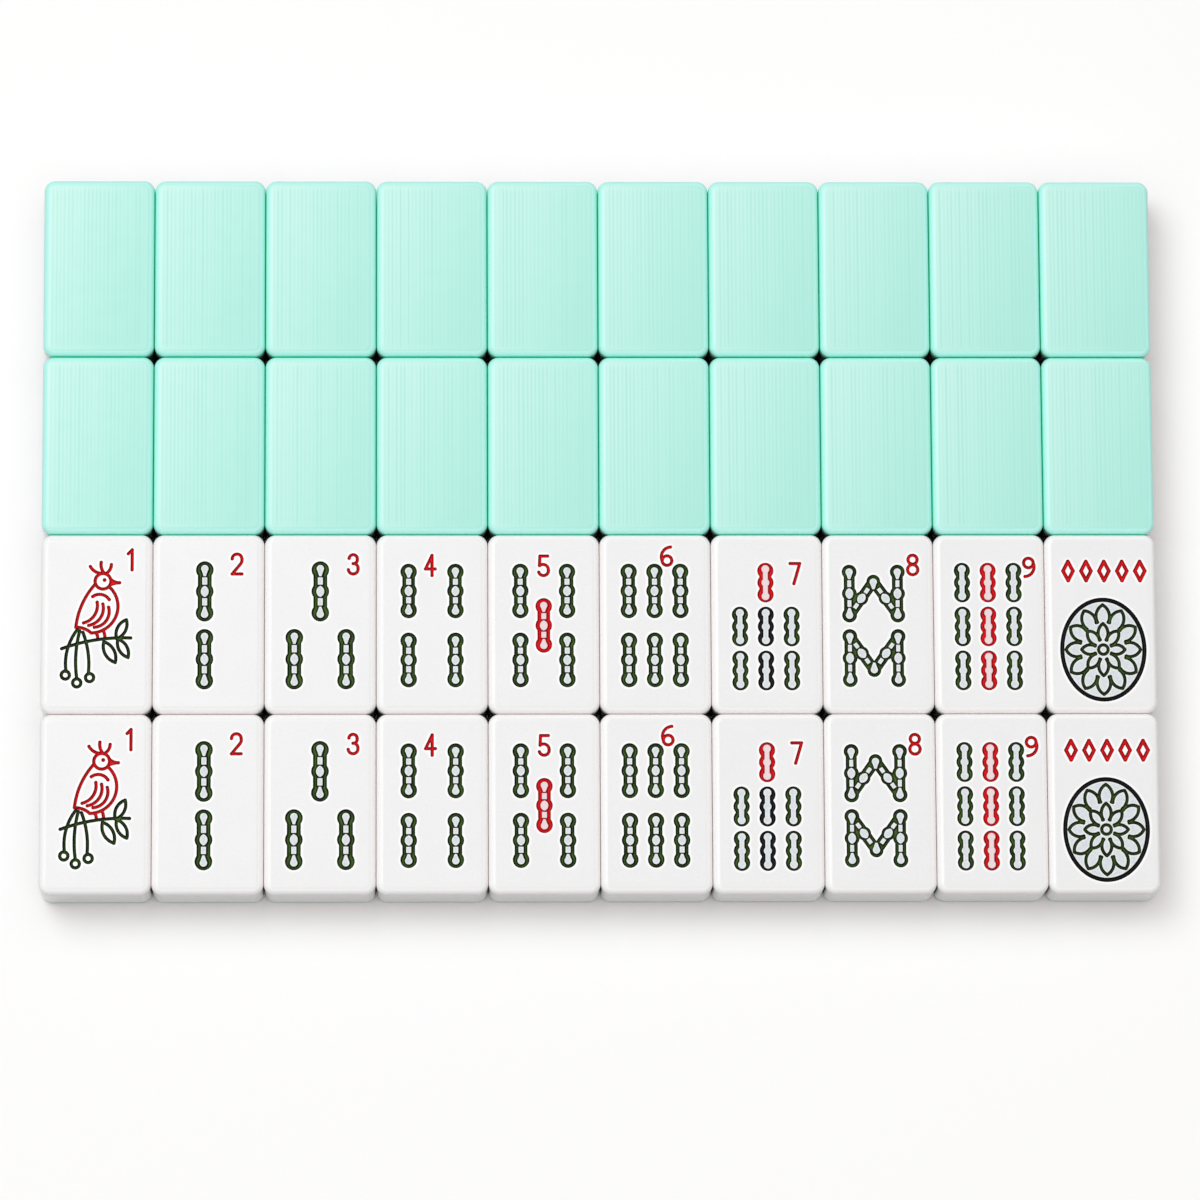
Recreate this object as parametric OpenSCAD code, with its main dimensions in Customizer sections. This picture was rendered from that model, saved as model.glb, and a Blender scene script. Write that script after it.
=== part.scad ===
// Forty mahjong tiles laid out as a block: two rows face down, two rows face up.
// Each tile is a white front layer bonded to a mint back layer.
// The face-up fronts are engraved with the bamboo suit and a wild tile, and the recesses hold paint.

/* [Tile] */
// Width of a tile
tile_w = 20.15; // [18.5:0.05:24]
// Length of a tile
tile_l = 32.85; // [30:0.05:38]
// Thickness of a tile, both layers together
tile_t = 12.7; // [10:0.1:16]
// Thickness of the mint back layer
back_t = 2.4; // [2:0.1:6]
// Radius of the upright corners
corner_r = 2; // [1.8:0.1:2.6]
// Radius of the soft edge around each large face
edge_r = 1.3; // [0.8:0.1:1.7]

/* [Layout] */
// Gap between neighbours in a row
side_gap = 0.05; // [0.05:0.05:0.8]
// Gap between two rows
row_gap = 0.05; // [0.05:0.05:0.8]

/* [Engraving] */
// Depth of the engraved recesses
engrave_t = 0.5; // [0.3:0.05:0.8]
// How far the paint lies below the face
paint_drop = 0.12; // [0.04:0.02:0.2]
// How far the pale wash lies below the face
wash_drop = 0.08; // [0.04:0.02:0.2]

/* [Bamboo sticks] */
// Bare face above the sticks of the two and three
close_head = 5; // [4:0.05:6]
// Bare face below the sticks of the two and three
close_foot = 4.35; // [3:0.05:6]
// Gap between the sticks of the two and three
close_gap = 1.35; // [0.8:0.05:2]
// Bare face above the sticks of the four, five and six
open_head = 5.45; // [4:0.05:6]
// Bare face below the sticks of the four, five and six
open_foot = 4.7; // [3:0.05:6]
// Gap between the sticks of the four, five and six
open_gap = 2.6; // [1.5:0.05:3.5]
// Bare face above the sticks of the seven and nine
short_head = 5.3; // [4:0.05:6]
// Bare face below the sticks of the seven and nine
short_foot = 4.1; // [3:0.05:6]
// Gap between the sticks of the seven and nine
short_gap = 0.75; // [0.4:0.05:1.2]
// Bare face above the sticks of the eight
eight_head = 5.65; // [4:0.05:6]
// Bare face below the sticks of the eight
eight_foot = 4.7; // [3:0.05:6]
// Gap between the two halves of the eight
eight_gap = 1.2; // [0.8:0.05:2]
// Diameter of the knobs of the two and three
close_knob_d = 3.2; // [2.8:0.05:3.4]
// Width of the sticks of the two and three between their knobs
close_neck_w = 2.5; // [2:0.05:2.6]
// Diameter of the knobs of the four, five and six
open_knob_d = 3; // [2.6:0.05:3.2]
// Width of the sticks of the four, five and six between their knobs
open_neck_w = 2.3; // [1.8:0.05:2.4]
// Diameter of the end knobs of the eight
eight_knob_d = 2.7; // [2.4:0.05:3]
// Width of the sticks of the eight between their knobs
eight_neck_w = 2; // [1.7:0.05:2.2]
// Painted rim at the ends of a long stick
rim_w = 0.68; // [0.5:0.02:0.9]
// Painted bridge between two openings of a long stick
bridge_w = 0.22; // [0.16:0.02:0.34]
// Width of the drops left open in the knobs
drop_w = 1.32; // [0.9:0.02:1.4]
// Width of a drop at its tip
tip_w = 0.4; // [0.2:0.02:0.6]
// Width of the lens left open in the middle knob
lens_w = 1.42; // [0.9:0.02:1.5]
// Length of a drop or lens, as a share of the stick
drop_share = 0.186; // [0.16:0.002:0.19]
// Width of the windows left open in the necks of the two to six
window_w = 0.9; // [0.5:0.05:1.2]
// Diameter of the knobs of a short stick
short_knob_d = 2.95; // [2.6:0.05:3.2]
// Width of a short stick between its knobs
short_neck_w = 2.2; // [1.8:0.05:2.4]
// Painted line around the knobs of a short stick
short_line_w = 0.76; // [0.5:0.02:0.8]
// Painted line along the sides of a short stick between its knobs
short_side_w = 0.66; // [0.4:0.02:0.7]
// Painted line at the ends of a short stick
short_end_w = 0.44; // [0.3:0.02:0.8]
// How far the point of an eight's brace lies below the ends of its posts
apex_drop = 3.1; // [2:0.1:4.5]
// Diameter of the knobs of an eight's braces
brace_knob_d = 2.5; // [2.3:0.05:2.8]
// Width of the windows left open in the necks of the eight
eight_window_w = 0.7; // [0.5:0.02:0.8]

/* [Numbers] */
// Height of a number
digit_h = 4.3; // [3:0.1:4.4]
// Width of a number
digit_w = 2.35; // [1.8:0.05:2.4]
// Width of the line of a number
digit_line_w = 0.6; // [0.3:0.02:0.66]

/* [Bird] */
// Height of the bird with its branch
bird_h = 23; // [18:0.5:24]
// Width of the lines of the bird
bird_line_w = 0.62; // [0.4:0.02:0.7]

/* [Wild tile] */
// Width of the oval medallion
medal_w = 15.7; // [12:0.1:16]
// Height of the oval medallion
medal_h = 19.1; // [14:0.1:19.4]
// Width of the ring around the medallion
medal_ring_w = 0.78; // [0.4:0.02:0.9]
// Width of the lines of the flower
flower_line_w = 0.6; // [0.4:0.02:0.66]
// Width of a red lozenge above the medallion
lozenge_w = 2.5; // [2:0.1:2.7]
// Height of a red lozenge above the medallion
lozenge_h = 4.2; // [3:0.1:4.5]
// Width of the line of a red lozenge
lozenge_line_w = 0.7; // [0.4:0.02:0.8]

/* [Hidden] */
$fn = 64;
white = [0.95, 0.95, 0.95];
mint = [0.74, 0.95, 0.91];
green = [0.13, 0.25, 0.1];
red = [0.78, 0.08, 0.16];
navy = [0.07, 0.08, 0.14];
black = [0.08, 0.09, 0.1];
pale = [0.86, 0.89, 0.9];

// Names of the ten faces from left to right, and of the two face-up and two face-down rows.
FACES = ["one", "two", "three", "four", "five", "six", "seven", "eight", "nine", "wild"];
FACE_UP_ROWS = ["c", "d"];
FACE_DOWN_ROWS = ["a", "b"];
columns = len(FACES);
rows = len(FACE_UP_ROWS) + len(FACE_DOWN_ROWS);
pitch_x = tile_w + side_gap;
pitch_y = tile_l + row_gap;

front_t = tile_t - back_t;
engrave_overrun = engrave_t;
paint_t = engrave_t - paint_drop;
wash_t = engrave_t - wash_drop;

// Columns of sticks from the middle of the face, as shares of the tile's width.
pair_x_share = 0.21;
trio_x_share = 0.232;
post_x_share = 0.217;
// How far each face's sticks stand to the side, as shares of the tile's width.
shift_shares = [0, -0.034, 0, 0, 0, -0.006, -0.01, -0.041, -0.012, 0];
// Middle of each face's number, as shares of the tile's width and length.
digit_shares = [
    [0.304, 0.356], [0.255, 0.333], [0.295, 0.331], [-0.015, 0.324], [0, 0.32],
    [0.108, 0.379], [0.257, 0.278], [0.315, 0.326], [0.357, 0.309]
];

// Round ends of the lines, as a share of the line's width.
end_share = 1.06;
// Lines of the numbers one to nine: both ends as shares of the half width and half height, and the bow.
digit_line_shares = [
    [[0.3, 1, 0.3, -1, 0], [0.3, 1, -0.5, 0.6, 0]],
    [[-1, 0.5, 1, 0.5, 0.5], [1, 0.5, 0.66, -0.05, 0.12], [0.66, -0.05, -1, -1, 0], [-1, -1, 1, -1, 0]],
    [
        [-0.85, 0.58, 0.85, 0.5, 0.5], [0.85, 0.5, 0, 0.06, 0.24],
        [0, 0.06, 1, -0.45, 0.24], [1, -0.45, -1, -0.54, 0.5]
    ],
    [[0.35, 1, -1, -0.35, 0], [-1, -0.35, 1, -0.35, 0], [0.35, 1, 0.35, -1, 0]],
    [
        [0.85, 1, -0.75, 1, 0], [-0.75, 1, -0.85, 0.05, 0],
        [-0.85, 0.05, 1, -0.38, 0.32], [1, -0.38, -1, -0.6, 0.46]
    ],
    [[-1, -0.5, 1, -0.5, 0.5], [1, -0.5, -1, -0.5, 0.5], [-1, -0.5, 0.75, 0.85, 0.26]],
    [[-1, 1, 1, 1, 0], [1, 1, -0.25, -1, 0]],
    [
        [-0.94, 0.53, 0.94, 0.53, 0.5], [0.94, 0.53, -0.94, 0.53, 0.5],
        [-1.06, -0.47, 1.06, -0.47, 0.5], [1.06, -0.47, -1.06, -0.47, 0.5]
    ],
    [[1, 0.5, -1, 0.5, 0.5], [-1, 0.5, 1, 0.5, 0.5], [1, 0.5, -0.75, -0.85, 0.26]]
];

// Lines of the bird: both ends as shares of its height, and the bow.
bird_red_shares = [
    [0.108, 0.357, 0.18, 0.325, -0.12], [0.105, 0.308, 0.18, 0.325, 0.05],
    [0.03, 0.4, -0.05, 0.455, 0.12], [0.052, 0.41, 0.035, 0.488, 0.1],
    [0.078, 0.402, 0.115, 0.47, -0.12], [-0.01, 0.315, -0.16, -0.03, -0.08],
    [0.1, 0.292, -0.04, -0.075, 0.34], [-0.04, -0.075, -0.16, -0.03, -0.1],
    [-0.03, 0.215, 0.1, 0.19, 0.22], [0.005, 0.17, -0.1, 0.005, 0.2], [0.05, 0.155, -0.06, -0.015, 0.22],
    [0.095, 0.13, -0.015, -0.03, 0.24],
    [0.005, -0.085, 0.012, -0.12, 0.05], [0.055, -0.055, 0.068, -0.112, 0.05]
];
bird_green_shares = [
    [-0.27, -0.2, 0.27, -0.115, 0.05],
    [-0.15, -0.05, -0.235, -0.38, -0.1], [-0.13, -0.06, -0.15, -0.44, -0.05],
    [-0.105, -0.07, -0.06, -0.4, 0.06],
    [0.06, -0.145, 0.15, -0.31, 0.2], [0.06, -0.145, 0.15, -0.31, -0.2],
    [0.17, -0.125, 0.25, -0.27, 0.2], [0.17, -0.125, 0.25, -0.27, -0.2],
    [0.16, -0.12, 0.235, 0.03, 0.2], [0.16, -0.12, 0.235, 0.03, -0.2]
];
// Round parts of the bird, with the radius last: its head, its eye and the rings on its tail.
head_shares = [0.05, 0.337, 0.062];
eye_shares = [0.062, 0.347, 0.016];
tail_ring_shares = [[-0.24, -0.41, 0.032], [-0.15, -0.472, 0.032], [-0.05, -0.43, 0.032]];

// Middle of the medallion and of the lozenges above it, as shares of the tile's width and length.
medal_place_shares = [0.018, -0.148];
lozenge_place_shares = [0.035, 0.292];
lozenge_pitch_share = 0.162;
lozenges = 5;
lozenge_line_shares = [[1, 0, 0, 1, 0], [0, 1, -1, 0, 0], [-1, 0, 0, -1, 0], [0, -1, 1, 0, 0]];
oval_steps = 96;
// Two rings of petals as shares of the medallion: inner and outer reach, and bow.
petal_shares = [[0.2, 0.5, 0.2], [0.54, 0.86, 0.2]];
petal_counts = [8, 12];
core_share = 0.11;
// Half the angle at the foot of a petal, as a share of the angle between petals.
petal_foot_share = 0.44;

PAINTS = ["green", "red", "navy", "black", "pale"];
TINTS = [green, red, navy, black, pale];

function direction(p, q) = atan2(q.y - p.y, q.x - p.x);
function polar(r, angle) = [r * cos(angle), r * sin(angle)];
function along(shares, size) = [shares.x * size.x, shares.y * size.y];
function distinct(list) = [
    for (i = [0:len(list) - 1]) if (len([for (j = [0:1:i - 1]) if (list[j] == list[i]) j]) == 0) list[i]
];
function oval(w, h) = [for (i = [1:oval_steps]) along(polar(1, 360 * i / oval_steps), [w, h] / 2)];

// Bare face above and below one kind of stick, its number of rows and the gap between them
function field(kind) =
    kind == "close" ? [close_head, close_foot, 2, close_gap]
    : kind == "open" ? [open_head, open_foot, 2, open_gap]
    : kind == "short" ? [short_head, short_foot, 3, short_gap]
    : [eight_head, eight_foot, 2, eight_gap];
function stick_l(kind) =
    let (s = field(kind))
    (tile_l - s[0] - s[1] - (s[2] - 1) * s[3]) / s[2];
function stick_y(kind, i) =
    let (s = field(kind))
    tile_l / 2 - s[0] - stick_l(kind) / 2 - i * (stick_l(kind) + s[3]);
function field_middle(kind) = (field(kind)[1] - field(kind)[0]) / 2;
function column_x(f, share) = (shift_shares[f] + share) * tile_w;

// One row of sticks: kind, colour and middle of each
function stick_row(f, kind, colours, shares, y) =
    [for (i = [0:len(shares) - 1]) [kind, colours[i], [column_x(f, shares[i]), y]]];

pair_shares = [-pair_x_share, pair_x_share];
trio_shares = [-trio_x_share, 0, trio_x_share];
greens = ["green", "green", "green"];

function sticks(f) =
    let (close = [for (i = [0, 1]) stick_y("close", i)])
    let (open = [for (i = [0, 1]) stick_y("open", i)])
    let (short = [for (i = [0:2]) stick_y("short", i)])
    f == 1 ? [for (y = close) each stick_row(f, "close", greens, [0], y)]
    : f == 2 ? concat(
        stick_row(f, "close", greens, [0], close[0]),
        stick_row(f, "close", greens, [-trio_x_share, trio_x_share], close[1]))
    : f == 3 ? [for (y = open) each stick_row(f, "open", greens, pair_shares, y)]
    : f == 4 ? concat(
        [for (y = open) each stick_row(f, "open", greens, pair_shares, y)],
        stick_row(f, "open", ["red"], [0], field_middle("open")))
    : f == 5 ? [for (y = open) each stick_row(f, "open", greens, trio_shares, y)]
    : f == 6 ? concat(
        stick_row(f, "short", ["red"], [0], short[0]),
        [for (i = [1, 2]) each stick_row(f, "short", ["green", "navy", "green"], trio_shares, short[i])])
    : f == 7 ? concat(
        stick_row(f, "eight", greens, [0], stick_y("eight", 0)),
        stick_row(f, "turned_eight", greens, [0], stick_y("eight", 1)))
    : f == 8 ? [for (y = short) each stick_row(f, "short", ["green", "red", "green"], trio_shares, y)]
    : [];

module ring(r, w) {
    difference() {
        circle(r = r + w / 2);
        circle(r = r - w / 2);
    }
}

// Part of a ring, from one angle to the other about the origin
module arc(r, from, to, w) {
    reach = 2 * (r + w);
    steps = 4;
    wedge = [for (i = [0:steps]) polar(reach, from + (to - from) * i / steps)];
    intersection() {
        ring(r, w);
        polygon(concat([[0, 0]], wedge));
    }
}

// Line from p to q whose middle stands off its chord, to the left, by a share of the chord
module line(p, q, bow_share, w) {
    chord = norm(q - p);
    if (bow_share == 0) {
        translate(p) rotate(direction(p, q)) translate([0, -w / 2]) square([chord, w]);
    } else {
        sag = bow_share * chord;
        r = (chord * chord / 4 + sag * sag) / (2 * abs(sag));
        half = 2 * atan(2 * abs(bow_share));
        left = [p.y - q.y, q.x - p.x] / chord;
        outward = sign(bow_share) * left;
        facing = direction([0, 0], outward);
        translate((p + q) / 2 + left * sag - outward * r) arc(r, facing - half, facing + half, w);
    }
}

// A drawing of lines, with each end or joint rounded once
module lines(shares, size, w) {
    ends = distinct([for (s = shares) each [[s[0], s[1]], [s[2], s[3]]]]);
    for (s = shares) line(along([s[0], s[1]], size), along([s[2], s[3]], size), s[4], w);
    for (end = ends) translate(along(end, size)) circle(d = end_share * w);
}

// Bamboo stick: three knobs on a straight neck
module stick_outline(l, knob, neck) {
    reach = (l - knob) / 2;
    square([neck, 2 * reach], center = true);
    for (y = [-reach, 0, reach]) translate([0, y]) circle(d = knob);
}

// Opening in an end knob: round towards the stick's end, pointed towards its neck
module tear(l) {
    translate([0, -drop_w / 2]) circle(d = drop_w);
    polygon([[-drop_w / 2, -drop_w / 2], [-tip_w / 2, -l], [tip_w / 2, -l], [drop_w / 2, -drop_w / 2]]);
}

// Opening in a middle knob: a lens between two arcs
module lens(l) {
    r = (l * l + lens_w * lens_w) / (4 * lens_w);
    intersection() {
        translate([r - lens_w / 2, 0]) circle(r = r);
        translate([lens_w / 2 - r, 0]) circle(r = r);
    }
}

module long_openings(l, window) {
    drop = drop_share * l;
    tear_top = l / 2 - rim_w;
    free = tear_top - drop - drop / 2;
    lens(drop);
    for (side = [0, 1]) mirror([0, side]) {
        translate([0, tear_top]) tear(drop);
        translate([0, (drop + free) / 2]) square([window, free - 2 * bridge_w], center = true);
    }
}

module short_openings(l) {
    stick_outline(l - 2 * short_end_w, short_knob_d - 2 * short_line_w, short_neck_w - 2 * short_side_w);
}

function post_x(side) = side * post_x_share * tile_w;
function brace_foot(l, side) = [post_x(side), (eight_knob_d - l) / 2];
function brace_point(l) = [0, l / 2 - apex_drop];

// Puts a shape along a brace of the eight, from the foot of a post to the point in the middle
module on_brace(l, side) {
    foot = brace_foot(l, side);
    point = brace_point(l);
    translate((foot + point) / 2) rotate(direction(foot, point) - 90) children();
}

module eight_outline(l) {
    brace_l = norm(brace_point(l) - brace_foot(l, 1));
    for (side = [-1, 1]) {
        translate([post_x(side), 0]) stick_outline(l, eight_knob_d, eight_neck_w);
        on_brace(l, side) {
            square([eight_neck_w, brace_l], center = true);
            circle(d = brace_knob_d);
        }
    }
    translate(brace_point(l)) circle(d = brace_knob_d);
}

module eight_openings(l) {
    drop = drop_share * l;
    free = norm(brace_point(l) - brace_foot(l, 1)) / 2 - (eight_knob_d + drop) / 2;
    for (side = [-1, 1]) {
        translate([post_x(side), 0]) long_openings(l, eight_window_w);
        on_brace(l, side) {
            lens(drop);
            for (end = [-1, 1])
                translate([0, end * (drop + free) / 2])
                    square([eight_window_w, free - 2 * bridge_w], center = true);
        }
    }
    translate(brace_point(l)) translate([0, brace_knob_d / 2 - rim_w]) tear(drop);
}

module stick(kind) {
    l = stick_l(kind);
    if (kind == "close") stick_outline(l, close_knob_d, close_neck_w);
    if (kind == "open") stick_outline(l, open_knob_d, open_neck_w);
    if (kind == "short") stick_outline(l, short_knob_d, short_neck_w);
    if (kind == "eight") eight_outline(l);
    if (kind == "turned_eight") mirror([0, 1]) eight_outline(l);
}

module openings(kind) {
    l = stick_l(kind);
    if (kind == "close" || kind == "open") long_openings(l, window_w);
    if (kind == "short") short_openings(l);
    if (kind == "eight") eight_openings(l);
    if (kind == "turned_eight") mirror([0, 1]) eight_openings(l);
}

module painted_sticks(f, colour) {
    for (s = sticks(f)) if (s[1] == colour) translate(s[2]) difference() {
        stick(s[0]);
        openings(s[0]);
    }
}

module number(f) {
    half_size = [digit_w - digit_line_w, digit_h - digit_line_w] / 2;
    translate(along(digit_shares[f], [tile_w, tile_l]))
        lines(digit_line_shares[f], half_size, digit_line_w);
}

module bird_green() {
    lines(bird_green_shares, [bird_h, bird_h], bird_line_w);
    for (s = tail_ring_shares) translate(bird_h * [s.x, s.y]) ring(bird_h * s.z, bird_line_w);
}

module bird_red() {
    lines(bird_red_shares, [bird_h, bird_h], bird_line_w);
    translate(bird_h * [head_shares.x, head_shares.y]) ring(bird_h * head_shares.z, bird_line_w);
    translate(bird_h * [eye_shares.x, eye_shares.y]) circle(r = bird_h * eye_shares.z);
}

// Two lines for each petal of one ring, from the sides of its foot to its tip
function petal_lines(i) = let (spacing = 360 / petal_counts[i]) [
    for (k = [1:petal_counts[i]], side = [-1, 1])
        let (foot = polar(petal_shares[i].x, spacing * (k + side * petal_foot_share)))
        let (tip = polar(petal_shares[i].y, spacing * k))
        [foot.x, foot.y, tip.x, tip.y, side * petal_shares[i].z]
];

module flower() {
    ring(core_share * medal_w / 2, flower_line_w);
    for (i = [0:len(petal_counts) - 1]) lines(petal_lines(i), [medal_w, medal_h] / 2, flower_line_w);
}

module on_medal() {
    translate(along(medal_place_shares, [tile_w, tile_l])) children();
}

module medal_field() {
    polygon(oval(medal_w - 2 * medal_ring_w, medal_h - 2 * medal_ring_w));
}

module lozenge_row() {
    half_size = [lozenge_w - lozenge_line_w, lozenge_h - lozenge_line_w] / 2;
    pitch = lozenge_pitch_share * tile_w;
    translate(along(lozenge_place_shares, [tile_w, tile_l]))
        for (k = [1:lozenges])
            translate([(k - (lozenges + 1) / 2) * pitch, 0])
                lines(lozenge_line_shares, half_size, lozenge_line_w);
}

// Everything of one paint on a face, seen from above
module paint_shape(f, paint) {
    wild = f == columns - 1;
    bird = f == 0;
    if (paint == "green") {
        painted_sticks(f, paint);
        if (bird) bird_green();
        if (wild) on_medal() flower();
    }
    if (paint == "red") {
        painted_sticks(f, paint);
        if (wild) lozenge_row();
        else difference() {
            union() {
                number(f);
                if (bird) bird_red();
            }
            if (bird) bird_green();
            for (s = sticks(f)) translate(s[2]) stick(s[0]);
        }
    }
    if (paint == "navy") painted_sticks(f, paint);
    if (paint == "black" && wild) on_medal() difference() {
        polygon(oval(medal_w, medal_h));
        medal_field();
    }
    if (paint == "pale") {
        for (s = sticks(f)) translate(s[2]) openings(s[0]);
        if (wild) on_medal() difference() {
            medal_field();
            flower();
        }
    }
}

// Outline of the whole engraving of a face
module engraving(f) {
    for (s = sticks(f)) translate(s[2]) stick(s[0]);
    if (f == columns - 1) {
        on_medal() polygon(oval(medal_w, medal_h));
        lozenge_row();
    } else {
        number(f);
    }
    if (f == 0) {
        bird_green();
        bird_red();
    }
}

// Half section of a layer's outer strip: upright wall, soft upper edge
module rim_profile(t) {
    square([corner_r, t - edge_r]);
    square([corner_r - edge_r, t]);
    translate([corner_r - edge_r, t - edge_r]) intersection() {
        circle(r = edge_r);
        square(edge_r);
    }
}

// One layer of a tile, with its soft edge up
module layer(t) {
    straight = [tile_w, tile_l] - 2 * [corner_r, corner_r];
    translate([-straight.x / 2, -straight.y / 2, 0]) cube([straight.x, straight.y, t]);
    for (turn = [0:3]) rotate(90 * turn) {
        reach = turn % 2 == 0 ? straight.x : straight.y;
        run = turn % 2 == 0 ? straight.y : straight.x;
        translate([reach / 2, run / 2, 0]) {
            rotate([90, 0, 0]) linear_extrude(run) rim_profile(t);
            rotate_extrude(angle = 90) rim_profile(t);
        }
    }
}

// Rows run from the far side to the near side, columns from left to right
module at_tile(row, c) {
    translate([(c - (columns - 1) / 2) * pitch_x, ((rows - 1) / 2 - row) * pitch_y, 0]) children();
}

module face_down_back(row, c) {
    color(mint) at_tile(row, c) translate([0, 0, front_t]) layer(back_t);
}

module face_up_front(row, f) {
    color(white) at_tile(row, f) difference() {
        translate([0, 0, back_t]) layer(front_t);
        translate([0, 0, tile_t - engrave_t]) linear_extrude(engrave_t + engrave_overrun) engraving(f);
    }
}

// White layers under the face-down tiles
module lower_fronts(row) {
    color(white) for (c = [0:columns - 1])
        at_tile(row, c) translate([0, 0, front_t]) mirror([0, 0, 1]) layer(front_t);
}

// Mint layers under the face-up tiles
module lower_backs(row) {
    color(mint) for (c = [0:columns - 1])
        at_tile(row, c) translate([0, 0, back_t]) mirror([0, 0, 1]) layer(back_t);
}

// One paint in the recesses of a whole row; the pale wash lies a little higher than the others
module paint_fill(row, paint, tint) {
    t = paint == "pale" ? wash_t : paint_t;
    color(tint) for (f = [0:columns - 1])
        at_tile(row, f) translate([0, 0, tile_t - engrave_t]) linear_extrude(t) paint_shape(f, paint);
}

for (i = [0:1], c = [0:columns - 1])
    face_down_back(i, c);
for (i = [0:1], f = [0:columns - 1])
    face_up_front(i + 2, f);
for (i = [0:1])
    lower_fronts(i);
for (i = [0:1])
    lower_backs(i + 2);
for (i = [0:1], k = [0:len(PAINTS) - 1])
    paint_fill(i + 2, PAINTS[k], TINTS[k]);
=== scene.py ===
"""Forty mahjong tiles laid edge to edge.

Two rows lie face down and show mint backs; two rows lie face up and show white engraved and painted faces.
"""

import math

import bpy
import numpy as np
from mathutils.geometry import delaunay_2d_cdt
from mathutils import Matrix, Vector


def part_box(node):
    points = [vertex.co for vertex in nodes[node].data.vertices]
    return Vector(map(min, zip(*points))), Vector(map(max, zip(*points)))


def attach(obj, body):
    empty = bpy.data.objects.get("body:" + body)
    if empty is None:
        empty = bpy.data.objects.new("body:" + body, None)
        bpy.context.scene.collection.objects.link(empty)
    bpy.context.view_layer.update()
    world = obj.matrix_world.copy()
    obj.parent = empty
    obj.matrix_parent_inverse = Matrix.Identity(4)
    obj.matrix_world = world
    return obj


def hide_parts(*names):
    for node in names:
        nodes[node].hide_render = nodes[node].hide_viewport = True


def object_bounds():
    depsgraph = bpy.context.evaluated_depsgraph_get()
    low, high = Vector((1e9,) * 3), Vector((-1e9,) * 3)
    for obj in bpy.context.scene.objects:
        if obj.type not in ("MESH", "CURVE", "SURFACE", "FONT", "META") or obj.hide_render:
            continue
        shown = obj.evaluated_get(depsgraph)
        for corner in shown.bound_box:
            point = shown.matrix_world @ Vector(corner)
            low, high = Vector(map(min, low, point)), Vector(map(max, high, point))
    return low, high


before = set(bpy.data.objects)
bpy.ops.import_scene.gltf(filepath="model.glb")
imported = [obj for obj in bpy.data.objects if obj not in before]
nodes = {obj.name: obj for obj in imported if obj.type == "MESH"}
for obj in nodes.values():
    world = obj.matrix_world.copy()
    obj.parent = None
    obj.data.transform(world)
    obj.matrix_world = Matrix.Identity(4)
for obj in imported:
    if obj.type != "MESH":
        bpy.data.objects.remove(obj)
cad_low, cad_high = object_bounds()

MM = 0.001
BODY = "root"
FACES = ["one", "two", "three", "four", "five", "six", "seven", "eight", "nine", "wild"]
FACE_UP_ROWS = ["c", "d"]
FACE_DOWN_ROWS = ["a", "b"]
COLUMNS = len(FACES)
ROWS = len(FACE_UP_ROWS) + len(FACE_DOWN_ROWS)

BACKS = [f"back_{row}{column}" for row in FACE_DOWN_ROWS for column in range(1, COLUMNS + 1)]
FRONTS = [f"{face}_front_{row}" for row in FACE_UP_ROWS for face in FACES]
LOWER_BACKS = [f"lower_backs_{row}" for row in FACE_UP_ROWS]
LOWER_FRONTS = [f"lower_fronts_{row}" for row in FACE_DOWN_ROWS]


def middle_of(node):
    low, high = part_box(node)
    return (low + high) / 2


# Distances between neighbouring tiles, and the level of the faces, all from the parts in model.glb.
PITCH_ACROSS = middle_of("back_a2").x - middle_of("back_a1").x
PITCH_ALONG = middle_of("back_a1").y - middle_of("back_b1").y
FACE_LEVEL = cad_high.z
TABLE_LEVEL = cad_low.z

# Paint lies in its groove like a drop that has dried: high at the rim, low along the middle.
RIM_DROP = 0.05 * MM
WASH_RIM_DROP = 0.05 * MM
GROOVE_DIP = 0.3 * MM
WASH_DIP = 0.06 * MM
GROOVE_REACH = 0.42 * MM
WASH_REACH = 0.3 * MM
STROKE_STEP = 0.15 * MM
WASH_STEP = 0.22 * MM
WELD = 0.002 * MM
NO_LENGTH = 0.001 * WELD
# Points of the honeycomb keep this share of a step from the rim.
RIM_CLEAR_SHARE = 0.45
# A point nearer to the rim than this share of the paint's reach counts as on it.
ON_RIM_SHARE = 0.02
# Direction, seen from above, across a stroke from its side painted in shade, under its groove's wall towards
# the lamp, to its side painted as lit.
SHADE_TO_LIT_DIRECTION = np.array([0.83, -0.56])

# Shares of half a tile, across and along, where the flat face begins to end and has ended.
FLAT_ACROSS_SHARES = [0.76, 0.94]
FLAT_ALONG_SHARES = [0.84, 0.96]
# Fineness of the resin's clouds, polish waves and hairline rubs, in turns per metre, and the rubs' direction.
CLOUDS_PER_M = 110.0
WAVES_PER_M = 420.0
RUBS_PER_M = (900.0, 5200.0, 900.0)
RUB_TURN = (0.0, 0.0, 0.6)
# Each tile is cut from another place of the cast block.
GRAIN_STEP = 37.0 * MM
# Distance between two lines of the mint resin, and how they wander and differ.
LINE_PITCH = 0.72 * MM
LANES_PER_M = 600.0
LANE_STEP = 3.7
LINE_WANDER = 3.0
# Fineness of the paint's streaks and pools, and of the floor's flecks, in turns per metre.
STREAKS_PER_M = 1900.0
POOLS_PER_M = 420.0
FLECKS_PER_M = 800.0
# Levels of paint between which its low colour turns to its body colour, and its body to its high colour.
# On a stroke the low colour is painted shade and the high colour a painted highlight.
LOW_TO_BODY = [0.28, 0.6]
BODY_TO_HIGH = [0.55, 0.95]
# Width of the painted highlight on the lip of a recess.
LIP_HIGHLIGHT_REACH = 0.6 * MM
# The soft edge around a face, as drops below the face: where its painted highlight begins, is whole, fades
# and ends.
EDGE_HIGHLIGHT_DROPS = [0.004 * MM, 0.1 * MM, 0.5 * MM, 1.2 * MM]
# The drops below the face where the painted glow in the mouth of a gap between two tiles begins to turn to
# painted shade, and has turned.
GAP_GLOW_TO_SHADE_DROPS = [1.2 * MM, 3.5 * MM]
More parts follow.
